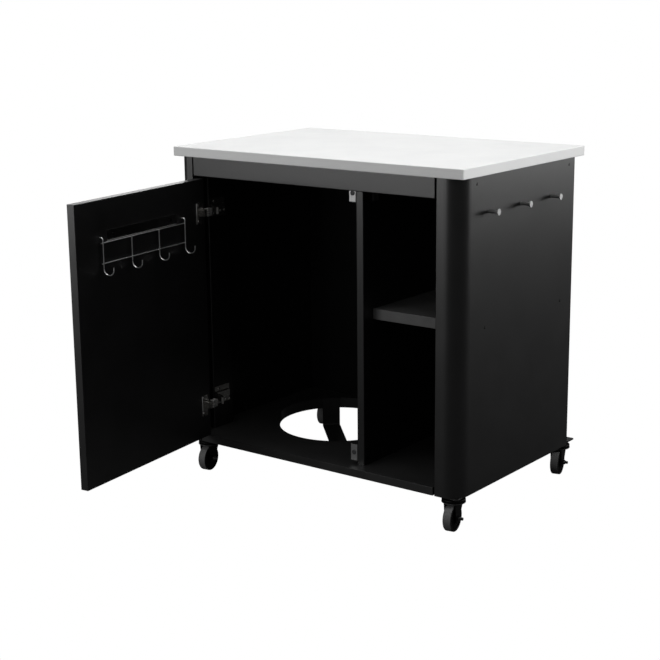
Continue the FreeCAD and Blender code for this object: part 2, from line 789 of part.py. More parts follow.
rail_line = f"({wire_line} - 2 * wire_radius)"
rail_end = f"({door_far} - hook_first - {last_hook} * hook_spacing - rail_over)"
rack_rails = []
for wire_name, up in (("upper_rail", f"{top_wire} - wire_radius"), ("lower_rail", low_wire)):
    piece = body(wire_name)
    rings = [(rail_line, up, "wire_radius")]
    pad(piece, circles(piece, "YZ_Plane", rings, lift=rail_end), f"{last_hook} * hook_spacing + 2 * rail_over")
    rack_rails.append(piece)
group = doc.addObject("Part::Compound", "hook_rack_rails")
group.Links = rack_rails
hang(group)

# Magnetic catches: angle on the divider's left face, magnet in its front plate.
divider_edge = f"(-{divider_front})"
for where, middle in (("upper", upper_catch), ("lower", lower_catch)):
    angle = body(f"catch_bracket_{where}")
    line = [
        (f"{divider_left} - catch_width", divider_edge),
        (divider_left, divider_edge, "catch_thick + fit_gap"),
        (divider_left, f"{divider_edge} + catch_leg"),
    ]
    pad(angle, outline(angle, "XY_Plane", folded(line, "catch_thick", 1)), "catch_height")
    plate_middle = f"{divider_left} - catch_width / 2"
    hole = [(plate_middle, "catch_height / 2", "magnet_radius + hole_clear")]
    pocket(angle, circles(angle, "XZ_Plane", hole, lift=f"{divider_front} + cut_reach"), "2 * cut_reach",
           backwards=False)
    bolts = [(f"{divider_edge} + bolt_back", f"catch_height / 2 + {sign} * bolt_half", screw_hole)
             for sign in (-1, 1)]
    pocket(angle, circles(angle, "YZ_Plane", bolts, lift=f"{divider_left} + cut_reach"), "2 * cut_reach",
           backwards=False)
    place(angle, up=f"{middle} - catch_height / 2")
    magnet = body(f"catch_magnet_{where}")
    profile = [
        ("0", "0"), ("magnet_radius / 2", "0"), ("magnet_radius / 2", "magnet_groove"),
        ("magnet_radius * 3 / 4", "magnet_groove"), ("magnet_radius * 3 / 4", "0"), ("magnet_radius", "0"),
        ("magnet_radius", "magnet_length"), ("0", "magnet_length"),
    ]
    turned(magnet, outline(magnet, "XY_Plane", profile), "V_Axis")
    place(magnet, plate_middle, f"{divider_edge} - magnet_stand", middle)

# Angle bracket from the divider's right face up to the worktop's underside.
divider_bracket = body("divider_bracket")
line = [
    (divider_right, f"{slab_under} - bracket_height"),
    (divider_right, slab_under, "bend"),
    (f"{divider_right} + bracket_reach", slab_under),
]
pad(divider_bracket, outline(divider_bracket, "XZ_Plane", folded(line, "sheet_thick", -1),
                             lift="bracket_rear"), "bracket_front - bracket_rear")
place(divider_bracket)

# Side pegs: a post with a disc head, and a stud through the panel.
for where, back in peg_places.items():
    peg = body(f"side_peg_{where}")
    profile = [
        ("-stud_length", "0"), ("peg_length + peg_disc", "0"),
        ("peg_length + peg_disc", "peg_head", "peg_round"), ("peg_length", "peg_head", "peg_round / 2"),
        ("peg_length", "peg_radius"), ("0", "peg_radius"), ("0", "stud_radius"),
        ("-stud_length", "stud_radius"),
    ]
    turned(peg, outline(peg, "XZ_Plane", profile), "H_Axis")
    place(peg, right_face, back, peg_height)


# One round-head screw, along +X out of the sheet it holds.
def screw(name, length):
    piece = body(name)
    profile = [
        (f"-({length})", "0"), ("screw_dome", "0"), ("screw_dome", "screw_head", "screw_dome * 5 / 6"),
        ("0", "screw_head"), ("0", "screw_radius"), (f"-({length})", "screw_radius"),
    ]
    turned(piece, outline(piece, "XZ_Plane", profile), "H_Axis")
    return piece


# Copies of a piece at several places, each given by x, y, height and the way that it faces.
def copies(name, master, spots):
    shapes = []
    for across, back, up, facing in spots:
        height = number(f"{up} - cart_height")
        spot = FreeCAD.Placement(FreeCAD.Vector(number(across), number(back), height),
                                 FreeCAD.Rotation(FreeCAD.Vector(0, 0, 1), facing))
        shape = master.Shape.copy()
        shape.Placement = spot.multiply(shape.Placement)
        shapes.append(shape)
    group = doc.addObject("Part::Feature", name)
    group.Shape = Part.makeCompound(shapes)
    group.Label = name
    parts.append(group)


panel_screw = screw("panel_screw", "screw_length")
spots = [(right_face, back, up, 0) for back, up in rail_spots + shelf_spots]
spots += [(f"-{left_face}", back, up, 180) for back, up in rail_spots]
spots += [(across, "rear_face", up, 90) for across in (rear_right, rear_left) for up in rear_spots]
copies("panel_screws", panel_screw, spots)
catch_screw = screw("catch_screw", "divider_thick + catch_thick + screw_past")
copies("catch_screws", catch_screw, [(divider_right, back, up, 0) for back, up in catch_spots])
rack_screw = body("rack_screw")
profile = [
    ("0", "0"), ("screw_head", "0"), ("screw_head", "flat_dome", "flat_dome * 3 / 4"), ("0", "flat_dome"),
]
turned(rack_screw, outline(rack_screw, "XY_Plane", profile), "V_Axis")

# Swivel casters, each given by the place of its king pin and its turn.
casters = {
    "front_right": ("caster_across", "-caster_front", "front_caster_angle"),
    "front_left": ("-caster_across", "-caster_front", "front_caster_angle"),
    "rear_right": ("caster_across", "caster_rear", "rear_caster_angle"),
    "rear_left": ("-caster_across", "caster_rear", "rear_caster_angle"),
}
swivel_top = f"({caster_top} - mount_thick - side_gap)"
king_end = "(canopy_top + 2 * side_gap)"
king_tip = f"(-mount_thick - {king_end} - king_head_thick)"
fork_inner = "(wheel_width / 2 + fork_gap)"
fork_outer = f"({fork_inner} + cheek_thick)"
axle_bore = "axle_radius + run_gap"
hexagon = [(f"axle_nut * cos({60 * step})", f"axle_nut * sin({60 * step})") for step in range(6)]
plates = []
for where, (across, along, turn) in casters.items():

    # square plate under a front corner, over the caster
    if along.startswith("-"):
        plate = body(f"corner_{where}")
        square = rectangle(f"{across} - corner_half", f"{along} - corner_half",
                           f"{across} + corner_half", f"{along} + corner_half", "slab_corner")
        pad(plate, outline(plate, "XY_Plane", square), "ledge_thick")
        middle = [(across, along, "bolt_radius + hole_clear")]
        pocket(plate, circles(plate, "XY_Plane", middle), "ledge_thick", backwards=True)
        plates.append(plate)

    # bolt, round plate under the cabinet and king pin that the fork turns on
    mount = body(f"caster_mount_{where}")
    bolt_length = "ledge_thick + nut_height + bolt_past"
    profile = [
        ("0", bolt_length), ("0", king_tip), ("king_head", king_tip, "king_head_thick / 3"),
        ("king_head", f"{king_tip} + king_head_thick"), ("king_radius", f"{king_tip} + king_head_thick"),
        ("king_radius", "-mount_thick"), ("mount_radius", "-mount_thick"), ("mount_radius", "0"),
        ("bolt_radius", "0"), ("bolt_radius", bolt_length),
    ]
    turned(mount, outline(mount, "XZ_Plane", profile), "V_Axis")
    place(mount, across, along, caster_top)

    # fork: round canopy with two cheeks that narrow down to the axle
    fork = body(f"caster_fork_{where}")
    cheek_top = f"{swivel_top} - canopy_top / 2"
    cheek = [
        ("-trail - cheek_boss", "wheel_radius"), ("cheek_boss - trail", "wheel_radius"),
        ("cheek_half", f"{swivel_top} - canopy_drop"), ("cheek_half", cheek_top),
        ("-cheek_half", cheek_top), ("-cheek_half", f"{swivel_top} - canopy_drop"),
    ]
    pad(fork, outline(fork, "YZ_Plane", cheek), f"2 * {fork_outer}", centred=True)
    pad(fork, circles(fork, "YZ_Plane", [("-trail", "wheel_radius", "cheek_boss")]),
        f"2 * {fork_outer}", centred=True)
    gap = rectangle("-trail - canopy_radius", "0", "canopy_radius", f"{swivel_top} - canopy_top")
    pocket(fork, outline(fork, "YZ_Plane", gap), f"2 * {fork_inner}", centred=True)
    profile = [
        ("king_radius + run_gap", f"{swivel_top} - canopy_top"), ("king_radius + run_gap", swivel_top),
        ("canopy_radius", swivel_top, "canopy_round"), ("canopy_radius", f"{swivel_top} - canopy_drop"),
        ("canopy_radius - canopy_wall", f"{swivel_top} - canopy_drop"),
        ("canopy_radius - canopy_wall", f"{swivel_top} - canopy_top"),
    ]
    turned(fork, outline(fork, "XZ_Plane", profile), "V_Axis")
    pocket(fork, circles(fork, "XY_Plane", [("0", "0", "king_radius + run_gap")],
                         lift=f"{swivel_top} - canopy_drop"), "canopy_drop + cut_reach", backwards=True)
    pocket(fork, circles(fork, "YZ_Plane", [("-trail", "wheel_radius", axle_bore)]),
           f"2 * ({fork_outer} + cut_reach)", centred=True)
    place(fork, across, along, "0", turn)

    # the wheel's pieces are turned about the axle, which lies across the cheeks
    centre = (f"{across} + trail * sin({turn})", f"{along} - trail * cos({turn})", "wheel_radius", turn)
    axle = body(f"caster_axle_{where}")
    axle_half = f"{fork_outer} + axle_nut_width + axle_end"
    rounding = "axle_radius / 4"
    profile = [
        (f"-({axle_half})", "0"), (axle_half, "0"), (axle_half, "axle_radius", rounding),
        (f"-({axle_half})", "axle_radius", rounding),
    ]
    turned(axle, outline(axle, "XZ_Plane", profile), "H_Axis")
    pad(axle, outline(axle, "YZ_Plane", hexagon, lift=fork_outer), "axle_nut_width")
    pad(axle, outline(axle, "YZ_Plane", hexagon, lift=f"-{fork_outer}"), "axle_nut_width", backwards=True)
    place(axle, *centre)

    hub = body(f"caster_wheel_{where}")
    hub_side = f"({fork_inner} - side_gap)"
    rim_inner = "(tyre_inner - rim_thick)"
    rim_side = "(wheel_width / 2 - rim_inset)"
    profile = [
        (f"-{hub_side}", axle_bore), (hub_side, axle_bore),
        (hub_side, "hub_radius"), ("web_width / 2", "hub_radius"), ("web_width / 2", rim_inner),
        (rim_side, rim_inner), (rim_side, "tyre_inner"), (f"-{rim_side}", "tyre_inner"),
        (f"-{rim_side}", rim_inner), ("-web_width / 2", rim_inner), ("-web_width / 2", "hub_radius"),
        (f"-{hub_side}", "hub_radius"),
    ]
    turned(hub, outline(hub, "XZ_Plane", profile), "H_Axis")
    place(hub, *centre)

    tyre = body(f"caster_tyre_{where}")
    profile = [
        ("-wheel_width / 2", "tyre_inner"), ("wheel_width / 2", "tyre_inner"),
        ("wheel_width / 2", "wheel_radius", "tyre_round"), ("-wheel_width / 2", "wheel_radius", "tyre_round"),
    ]
    turned(tyre, outline(tyre, "XZ_Plane", profile), "H_Axis")
    place(tyre, *centre)

corner_plates = doc.addObject("Part::Compound", "corner_plates")
corner_plates.Links = plates
place(corner_plates, up=caster_top)

# Hexagon nuts on the caster bolts, above the plates.
nut = doc.addObject("Part::Prism", "nut_block")
nut.Polygon = 6
nut.setExpression("Circumradius", bound("nut_radius"))
nut.setExpression("Height", bound("nut_height"))
nut_bore = doc.addObject("Part::Cylinder", "nut_bore")
nut_bore.setExpression("Radius", bound("bolt_radius + run_gap"))
nut_bore.setExpression("Height", bound("nut_height"))
bored_nut = doc.addObject("Part::Cut", "bored_nut")
bored_nut.Base, bored_nut.Tool = nut, nut_bore
doc.recompute()
copies("caster_nuts", bored_nut, [(across, along, "under_height", 0) for across, along, turn in casters.values()])

# Screws of the rack plate, in its middle line near both ends.
open_turn = FreeCAD.Placement(
    FreeCAD.Vector(-number("axis_across"), -number("axis_front"), -number("cart_height")),
    FreeCAD.Rotation(FreeCAD.Vector(0, 0, 1), -number("door_angle")))
shapes = []
for across in (f"{door_far} - rack_near - rack_screw_in", f"{door_far} - rack_far + rack_screw_in"):
    spot = FreeCAD.Placement(
        FreeCAD.Vector(number(across), number(f"{door_inner} + rack_thick"),
                       number(f"{rack_top} - rack_height / 2")), FreeCAD.Rotation())
    shape = rack_screw.Shape.copy()
    shape.Placement = open_turn.multiply(spot)
    shapes.append(shape)
rack_screws = doc.addObject("Part::Feature", "hook_rack_screws")
rack_screws.Shape = Part.makeCompound(shapes)
rack_screws.Label = rack_screws.Name
parts.append(rack_screws)

doc.recompute()
for piece in doc.Objects:
    if "Invalid" in piece.State or "Error" in piece.State:
        raise ValueError(f"{piece.Name} could not be built: {piece.State}")
for piece in parts:
    if piece.Shape.isNull() or not piece.Shape.isValid():
        raise ValueError(f"{piece.Label} is not a valid solid")

os.makedirs("parts", exist_ok=True)
for piece in parts:
    piece.Shape.exportStep(f"parts/{piece.Label}.step")
print(len(parts), "sub-parts written")
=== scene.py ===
import json
import math

import bmesh
import bpy
from mathutils import Matrix, Quaternion, Vector


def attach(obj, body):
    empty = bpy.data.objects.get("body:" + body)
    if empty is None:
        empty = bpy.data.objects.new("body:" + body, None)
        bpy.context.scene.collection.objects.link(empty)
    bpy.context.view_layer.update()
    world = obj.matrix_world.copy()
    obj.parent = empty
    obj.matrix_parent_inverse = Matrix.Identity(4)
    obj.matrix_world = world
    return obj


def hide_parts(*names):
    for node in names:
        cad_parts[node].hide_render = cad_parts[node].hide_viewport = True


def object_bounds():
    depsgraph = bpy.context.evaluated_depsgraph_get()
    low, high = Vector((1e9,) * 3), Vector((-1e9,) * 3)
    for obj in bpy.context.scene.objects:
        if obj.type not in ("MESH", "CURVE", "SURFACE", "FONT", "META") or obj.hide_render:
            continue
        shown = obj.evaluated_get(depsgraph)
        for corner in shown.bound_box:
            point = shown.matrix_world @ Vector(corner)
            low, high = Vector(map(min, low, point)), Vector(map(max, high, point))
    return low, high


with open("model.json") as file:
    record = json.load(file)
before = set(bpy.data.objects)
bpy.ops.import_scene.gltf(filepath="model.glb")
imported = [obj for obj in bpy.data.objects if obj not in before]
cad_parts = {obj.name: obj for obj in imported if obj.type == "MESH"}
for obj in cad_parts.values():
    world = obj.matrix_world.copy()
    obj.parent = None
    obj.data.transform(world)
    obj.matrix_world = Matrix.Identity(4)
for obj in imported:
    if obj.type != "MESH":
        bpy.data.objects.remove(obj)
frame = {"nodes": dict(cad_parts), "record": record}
nodes = frame["nodes"]
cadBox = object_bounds()
floorHeight = cadBox[0].z
print("frame loaded,", len(nodes), "nodes")


def addObject(name, data):
    added = bpy.data.objects.new(name, data)
    bpy.context.scene.collection.objects.link(added)
    return added


# Material building: a few short helpers, then one function for each kind of finish.
def newMaterial(name):
    material = bpy.data.materials.new(name)
    material.use_nodes = True
    tree = material.node_tree
    return material, tree, tree.nodes["Principled BSDF"]


def addNode(tree, kind, inputs, **settings):
    node = tree.nodes.new(kind)
    for key, value in settings.items():
        setattr(node, key, value)
    for key, value in inputs.items():
        if isinstance(value, bpy.types.NodeSocket):
            tree.links.new(value, node.inputs[key])
        else:
            node.inputs[key].default_value = value
    return node


def calculate(tree, operation, first, second=0.0):
    return addNode(tree, "ShaderNodeMath", {0: first, 1: second}, operation=operation).outputs[0]


def objectPoint(tree, stretch=(1, 1, 1)):
    spot = addNode(tree, "ShaderNodeTexCoord", {}).outputs["Object"]
    return addNode(tree, "ShaderNodeMapping", {"Vector": spot, "Scale": stretch}).outputs["Vector"]


def noise(tree, point, scale, detail, roughness=0.5):
    wanted = {"Vector": point, "Scale": scale, "Detail": detail, "Roughness": roughness}
    return addNode(tree, "ShaderNodeTexNoise", wanted).outputs["Fac"]


# Goes from low to high over 0.3 to 0.7, where nearly all of a noise lies.
def spread(tree, value, low, high):
    wanted = {"Value": value, "From Min": 0.3, "From Max": 0.7, "To Min": low, "To Max": high}
    return addNode(tree, "ShaderNodeMapRange", wanted).outputs["Result"]


def blendColour(tree, share, first, second):
    ramp = addNode(tree, "ShaderNodeValToRGB", {"Fac": share})
    for stop, colour in zip(ramp.color_ramp.elements, (first, second)):
        stop.color = (*colour, 1)
    return ramp.outputs["Color"]


# A colour that goes over to a lighter or darker shade of itself where the pattern is high.
def mottle(tree, pattern, colour, shade):
    return blendColour(tree, spread(tree, pattern, 0, 1), colour, tuple(channel * shade for channel in colour))


def bump(tree, height, depth, under=None):
    wanted = {"Height": height, "Distance": depth, "Strength": 1.0}
    if under is not None:
        wanted["Normal"] = under
    return addNode(tree, "ShaderNodeBump", wanted).outputs["Normal"]


socketNames = {"colour": "Base Color", "roughness": "Roughness", "normal": "Normal", "metal": "Metallic",
               "specular": "Specular IOR Level"}


def feed(tree, shader, **sources):
    for key, source in sources.items():
        socket = shader.inputs[socketNames[key]]
        if isinstance(source, bpy.types.NodeSocket):
            tree.links.new(source, socket)
        else:
            socket.default_value = source


stone = {
    "light": (0.84, 0.845, 0.84),
    "dark": (0.78, 0.785, 0.785),
    "cloudScale": 7.0,
    "cloudDark": (0.15, 0.75),  # how much of the dark colour the clouds bring in
    "grainScale": 1300.0,
    "grainDark": 0.25,  # how much more or less of it the grains do
    "grainDepth": 0.00003,
    "roughness": (0.55, 0.65),
    "specular": 0.06,
}


def makeWorktopStone():
    material, tree, shader = newMaterial("worktopStone")
    point = objectPoint(tree)
    clouds = noise(tree, point, stone["cloudScale"], detail=5, roughness=0.6)
    grains = noise(tree, point, stone["grainScale"], detail=2)
    darkShare = calculate(tree, "ADD", spread(tree, clouds, *stone["cloudDark"]),
                          spread(tree, grains, -stone["grainDark"], stone["grainDark"]))
    feed(tree, shader, colour=blendColour(tree, darkShare, stone["light"], stone["dark"]),
         roughness=spread(tree, clouds, *stone["roughness"]), normal=bump(tree, grains, stone["grainDepth"]),
         specular=stone["specular"])
    return material


coat = {
    "rippleDepth": 0.00004,
    "cloudScale": 11.0,
    "brighter": 1.6,
    "smoother": 0.012,
    "rougher": 0.015,
    "edgeRadius": 0.0012,
}


# Black powder coat: near black, its skin finely rippled, with a slow change in sheen, soft over the edges.
def makeBlackCoat(name, colour, sheen, ripple, specular):
    material, tree, shader = newMaterial(name)
    point = objectPoint(tree)
    skin = noise(tree, point, ripple, detail=3, roughness=0.55)
    cloud = noise(tree, point, coat["cloudScale"], detail=4, roughness=0.6)
    softEdge = addNode(tree, "ShaderNodeBevel", {"Radius": coat["edgeRadius"]}, samples=4).outputs["Normal"]
    feed(tree, shader, colour=mottle(tree, cloud, colour, coat["brighter"]), specular=specular,
         roughness=spread(tree, cloud, sheen - coat["smoother"], sheen + coat["rougher"]),
         normal=bump(tree, skin, coat["rippleDepth"], under=softEdge))
    return material


plating = {
    "strokeScale": 260.0,
    "strokeDepth": 0.000015,
    "rougher": 0.14,
    "cloudScale": 60.0,
}


# Plated or bare metal: brushed along one axis, with a little tarnish.
def makePlated(name, colour, shine, brushing, tarnish=0.8):
    material, tree, shader = newMaterial(name)
    strokes = noise(tree, objectPoint(tree, brushing), plating["strokeScale"], detail=4, roughness=0.6)
    cloud = noise(tree, objectPoint(tree), plating["cloudScale"], detail=4, roughness=0.6)
    feed(tree, shader, colour=mottle(tree, cloud, colour, tarnish), metal=1.0,
         roughness=spread(tree, strokes, shine, shine + plating["rougher"]),
         normal=bump(tree, strokes, plating["strokeDepth"]))
    return material


moulding = {
    "pitDepth": 0.00006,
    "rougher": 0.1,
    "brighter": 1.25,
    "ragged": 0.06,  # how uneven the line between a tyre's tread and its side is
    "treadUpTo": 0.4,  # how far a surface faces across the cart, from 0 to 1, as sideFrom
    "sideFrom": 0.75,
}


# The fine pits of moulded plastic and rubber.
def feedPits(tree, shader, shine, grain, specular):
    pits = noise(tree, objectPoint(tree), grain, detail=3, roughness=0.6)
    feed(tree, shader, roughness=spread(tree, pits, shine, shine + moulding["rougher"]),
         normal=bump(tree, pits, moulding["pitDepth"]), specular=specular)
    return pits


def makePlastic(name, colour, shine, grain, specular):
    material, tree, shader = newMaterial(name)
    pits = feedPits(tree, shader, shine, grain, specular)
    feed(tree, shader, colour=mottle(tree, pits, colour, moulding["brighter"]))
    return material


# Rubber with a tread and sides of different colour, told apart by how far their surface faces across the cart.
def makeTyreRubber(name, tread, side, shine, grain, specular):
    material, tree, shader = newMaterial(name)
    pits = feedPits(tree, shader, shine, grain, specular)
    facing = addNode(tree, "ShaderNodeTexCoord", {}).outputs["Normal"]
    across = addNode(tree, "ShaderNodeSeparateXYZ", {0: facing}).outputs["X"]
    worn = calculate(tree, "ADD", calculate(tree, "ABSOLUTE", across),
                     spread(tree, pits, -moulding["ragged"], moulding["ragged"]))
    limits = {0: worn, 1: moulding["treadUpTo"], 2: moulding["sideFrom"]}
    sideShare = addNode(tree, "ShaderNodeMapRange", limits).outputs[0]
    feed(tree, shader, colour=blendColour(tree, sideShare, tread, side))
    return material


def grey(level):
    return (level, level, level)


finishes = {
    "worktop_stone": makeWorktopStone(),
    "black_steel": makeBlackCoat("blackCoat", (0.002, 0.002, 0.0021), sheen=0.37, ripple=900.0, specular=0.75),
    # Paler copy of the black coat: painted light for the light falling on the shelf top.
    "shelf_black_painted_light": makeBlackCoat("shelfCoatPaintedLight", grey(0.07), sheen=0.37, ripple=900.0, specular=0.6),
    # Paler copy of the black coat: painted light for the light falling on the tray floor.
    "tray_black_painted_light": makeBlackCoat("trayCoatPaintedLight", grey(0.013), sheen=0.37, ripple=900.0, specular=0.6),
    "caster_black": makeBlackCoat("casterBlack", grey(0.0012), sheen=0.35, ripple=500.0, specular=0.12),
    "screw_steel": makePlated("blackenedScrew", grey(0.006), shine=0.35, brushing=(1, 1, 1)),
    # Darker copy of the hinges' nickel: painted shade for the dark look of the hinge mounts, cups and screws.
    "hinge_nickel": makePlated("hingeNickelPaintedShade", (0.5, 0.49, 0.47), shine=0.16, brushing=(1, 6, 1)),
    # Brighter copy of the same nickel: painted light, so that the hinge trim glints.
    "satin_nickel": makePlated("satinNickelPaintedLight", (0.95, 0.94, 0.92), shine=0.42, brushing=(1, 6, 1), tarnish=0.9),
    "bracket_zinc": makePlated("bracketZinc", grey(0.42), shine=0.34, brushing=(6, 1, 1)),
    "peg_stainless": makePlated("pegStainless", grey(0.62), shine=0.4, brushing=(1, 6, 6)),
    "rack_chrome": makePlated("rackChrome", grey(0.92), shine=0.27, brushing=(1, 1, 1), tarnish=0.93),
    "plate_chrome": makePlated("plateChrome", grey(0.6), shine=0.1, brushing=(1, 1, 1), tarnish=0.93),
    "caster_steel": makePlated("casterSteel", grey(0.12), shine=0.35, brushing=(1, 1, 6)),
    "magnet_dark": makePlastic("magnetDark", (0.04, 0.04, 0.042), shine=0.5, grain=700.0, specular=0.5),
    "wheel_hub": makePlastic("wheelHub", grey(0.0012), shine=0.45, grain=400.0, specular=0.06),
    "tyre_grey": makeTyreRubber("tyreGrey", grey(0.11), grey(0.0015), shine=0.6, grain=600.0, specular=0.2),
}


def finish(piece, finishName):
    if not piece.data.materials:
        piece.data.materials.append(finishes[finishName])
    for place in piece.material_slots:
        place.material = finishes[finishName]


# Nodes whose finish differs from the one that their slot stands for. The shelf and the base tray get paler copies of
# the black coat, painted light that stands in for the light falling on them.
ownFinish = {
    "shelf": "shelf_black_painted_light",
    "base_tray": "tray_black_painted_light",
    "rear_ledge": "caster_black",
    "hook_rack_plate": "plate_chrome",
}
for part in frame["record"]["subparts"]:
    finish(nodes[part["node"]], ownFinish.get(part["node"], part["material_slot"]))
print("finishes on every node")

sharpAngle = math.radians(35)  # an edge that folds by more than this is drawn sharp
upward = (0, 0, 1)


# Makes a piece of a shape, with its finish, the body it rides on and the nodes it replaces.
def makePiece(name, shape, slotName, body, *replaced):
    bmesh.ops.recalc_face_normals(shape, faces=shape.faces)
    for face in shape.faces:
        face.smooth = True
    for edge in shape.edges:
        edge.smooth = edge.calc_face_angle(0) < sharpAngle
    mesh = bpy.data.meshes.new(name)
    shape.to_mesh(mesh)
    shape.free()
    piece = addObject(name, mesh)
    finish(piece, slotName)
    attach(piece, body)
    if replaced:
        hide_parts(*replaced)
    return piece


def spinRound(shape, geometry, steps):
    bmesh.ops.spin(shape, geom=geometry, cent=(0, 0, 0), axis=upward, angle=math.tau, steps=steps, use_merge=True)


# A round shape about +Z from a line of (radius, height) points; steps is how many sides it gets.
def spun(line, steps):
    shape = bmesh.new()
    points = [shape.verts.new((radius, 0, height)) for radius, height in line]
    edges = [shape.edges.new(pair) for pair in zip(points, points[1:])]
    spinRound(shape, points + edges, steps)
    bmesh.ops.remove_doubles(shape, verts=shape.verts, dist=0.000001)
    return shape


def roundEdges(shape, edges, offset):
    bmesh.ops.bevel(shape, geom=edges, offset=offset, segments=2, profile=0.5, affect="EDGES", material=-1)


def onlyCorners(items):
    return [item for item in items if isinstance(item, bmesh.types.BMVert)]


# Six-sided nut with chamfered edges that stands at the height of its seat.
def nutShape(radius, height, chamfer, seat=0.0, turn=0.0):
    nut = bmesh.new()
    bmesh.ops.create_cone(nut, segments=6, radius1=radius, radius2=radius, depth=height, cap_ends=True,
                          matrix=Matrix.Translation((0, 0, seat + height / 2)) @ Matrix.Rotation(turn, 4, "Z"))
    roundEdges(nut, nut.edges[:], chamfer)
    return nut


# Turns a shape into a mesh to copy from.
def makeStamp(single):
    stamp = bpy.data.meshes.new("stamp")
    single.to_mesh(stamp)
    single.free()
    return stamp


# Joins a shape to another, as and where it was built.
def addAsBuilt(gathered, single):
    stamp = makeStamp(single)
    gathered.from_mesh(stamp)
    bpy.data.meshes.remove(stamp)


# Adds a copy of a shape at every place; the shape's own z axis points along each place's way.
def addCopies(gathered, single, places):
    stamp = makeStamp(single)
    for spot, way in places:
        before = len(gathered.verts)
        gathered.from_mesh(stamp)
        gathered.verts.ensure_lookup_table()
        turn = Vector(way).to_track_quat("Z", "Y").to_matrix().to_4x4()
        bmesh.ops.transform(gathered, matrix=Matrix.Translation(spot) @ turn, verts=gathered.verts[before:])
    bpy.data.meshes.remove(stamp)


# Lowest and highest corner of some points, in the axes of the place that they are seen from.
def cornersOf(points, seenFrom):
    near = [seenFrom.inverted() @ point for point in points]
    low = Vector([min(point[axis] for point in near) for axis in range(3)])
    return low, Vector([max(point[axis] for point in near) for axis in range(3)])


def nodeBox(name, seenFrom=Matrix.Identity(4)):
    return cornersOf([corner.co for corner in nodes[name].data.vertices], seenFrom)


# The box of every loose part of a CAD node.
def looseBoxes(name, seenFrom=Matrix.Identity(4)):
    shape = bmesh.new()
    shape.from_mesh(nodes[name].data)
    bmesh.ops.remove_doubles(shape, verts=shape.verts, dist=0.00001)
    waiting, boxes = set(shape.verts), []
    while waiting:
        part, fresh = set(), {waiting.pop()}
        while fresh:
            part |= fresh
            fresh = {edge.other_vert(corner) for corner in fresh for edge in corner.link_edges} - part
        waiting -= part
        boxes.append(cornersOf([corner.co for corner in part], seenFrom))
    shape.free()
    return boxes


# doorPlace leads from the shut door, seen from its hinge axis, to the door as it stands at rest.
joints = {joint["name"]: joint for joint in frame["record"]["behaviour"]["joints"]}
doorJoint = joints["door_hinge"]
doorPlace = Matrix.Translation(doorJoint["pos_m"]) @ Matrix.Rotation(-math.radians(doorJoint["range_deg"][1]), 4, "Z")
doorInward = (doorPlace.to_3x3() @ Vector((0, 1, 0))).normalized()

screw = {
    "headLine": ((1, 0), (1, 0.2), (0.93, 0.55), (0.76, 0.85), (0.58, 1)),  # shares of the head's radius and height
    "socket": 0.42,  # of the head's radius
    "socketDepth": 0.6,  # of the head's height
    "shank": 0.45,  # of the head's radius
    "pitch": 0.0007,
    "threadDepth": 0.00025,
    "longDome": 0.0024,
    "rackRadius": 0.0044,
    "rackDome": 0.0016,
}


# Round head with a hexagonal socket, its seat at z = 0 and its threaded shank, if any, below.
def screwShape(radius, dome, shankRadius=0, shank=0):
    line = [(radius * out, dome * up) for out, up in screw["headLine"]]
    if shank:
        thread = [(0, -shank)]
        for turn in range(int(shank / screw["pitch"]), 0, -1):
            depth = turn * screw["pitch"]
            thread += [(shankRadius - screw["threadDepth"], -depth), (shankRadius, -depth + screw["pitch"] / 2)]
        line = thread + [(shankRadius, 0)] + line
    else:
        line = [(0, 0)] + line
    shape = spun(line, 24)
    rim = [edge for edge in shape.edges if edge.is_boundary]
    bmesh.ops.create_circle(shape, segments=6, radius=radius * screw["socket"],
                            matrix=Matrix.Translation((0, 0, dome)))
    socket = [edge for edge in shape.edges if edge.is_wire]
    bmesh.ops.bridge_loops(shape, edges=rim + socket)
    wall = bmesh.ops.extrude_edge_only(shape, edges=socket)["geom"]
    bottom = onlyCorners(wall)
    bmesh.ops.translate(shape, vec=(0, 0, -dome * screw["socketDepth"]), verts=bottom)
    bmesh.ops.contextual_create(shape, geom=[item for item in wall if isinstance(item, bmesh.types.BMEdge)
                                             and all(corner in bottom for corner in item.verts)])
    return shape


# Screws that stand where a node's screws stand, their heads away from the cabinet's middle.
def makeLongScrews(name, nodeName):
    gathered, dome = bmesh.new(), screw["longDome"]
    for low, high in looseBoxes(nodeName):
        size, middle = high - low, (low + high) / 2
        axis = max(range(3), key=lambda which: size[which])
        side = math.copysign(1, middle[axis])
        way = Vector([side if which == axis else 0 for which in range(3)])
        seat = middle + way * (size[axis] / 2 - dome)
        radius = min(size) / 2
        addCopies(gathered, screwShape(radius, dome, radius * screw["shank"], size[axis] - dome), [(seat, way)])
    makePiece(name, gathered, "screw_steel", "root", nodeName)


def makeScrewCaps(name, spots, way, radius, dome, slotName, body, *replaced):
    gathered = bmesh.new()
    addCopies(gathered, screwShape(radius, dome), [(spot, way) for spot in spots])
    makePiece(name, gathered, slotName, body, *replaced)


makeLongScrews("panelScrews", "panel_screws")
makeLongScrews("catchScrews", "catch_screws")
rackSpots = [doorPlace @ Vector(((low.x + high.x) / 2, low.y, (low.z + high.z) / 2))
             for low, high in looseBoxes("hook_rack_screws", doorPlace)]
makeScrewCaps("rackScrews", rackSpots, doorInward, screw["rackRadius"], screw["rackDome"], "screw_steel", "door",
              "hook_rack_screws")
print("screws built")

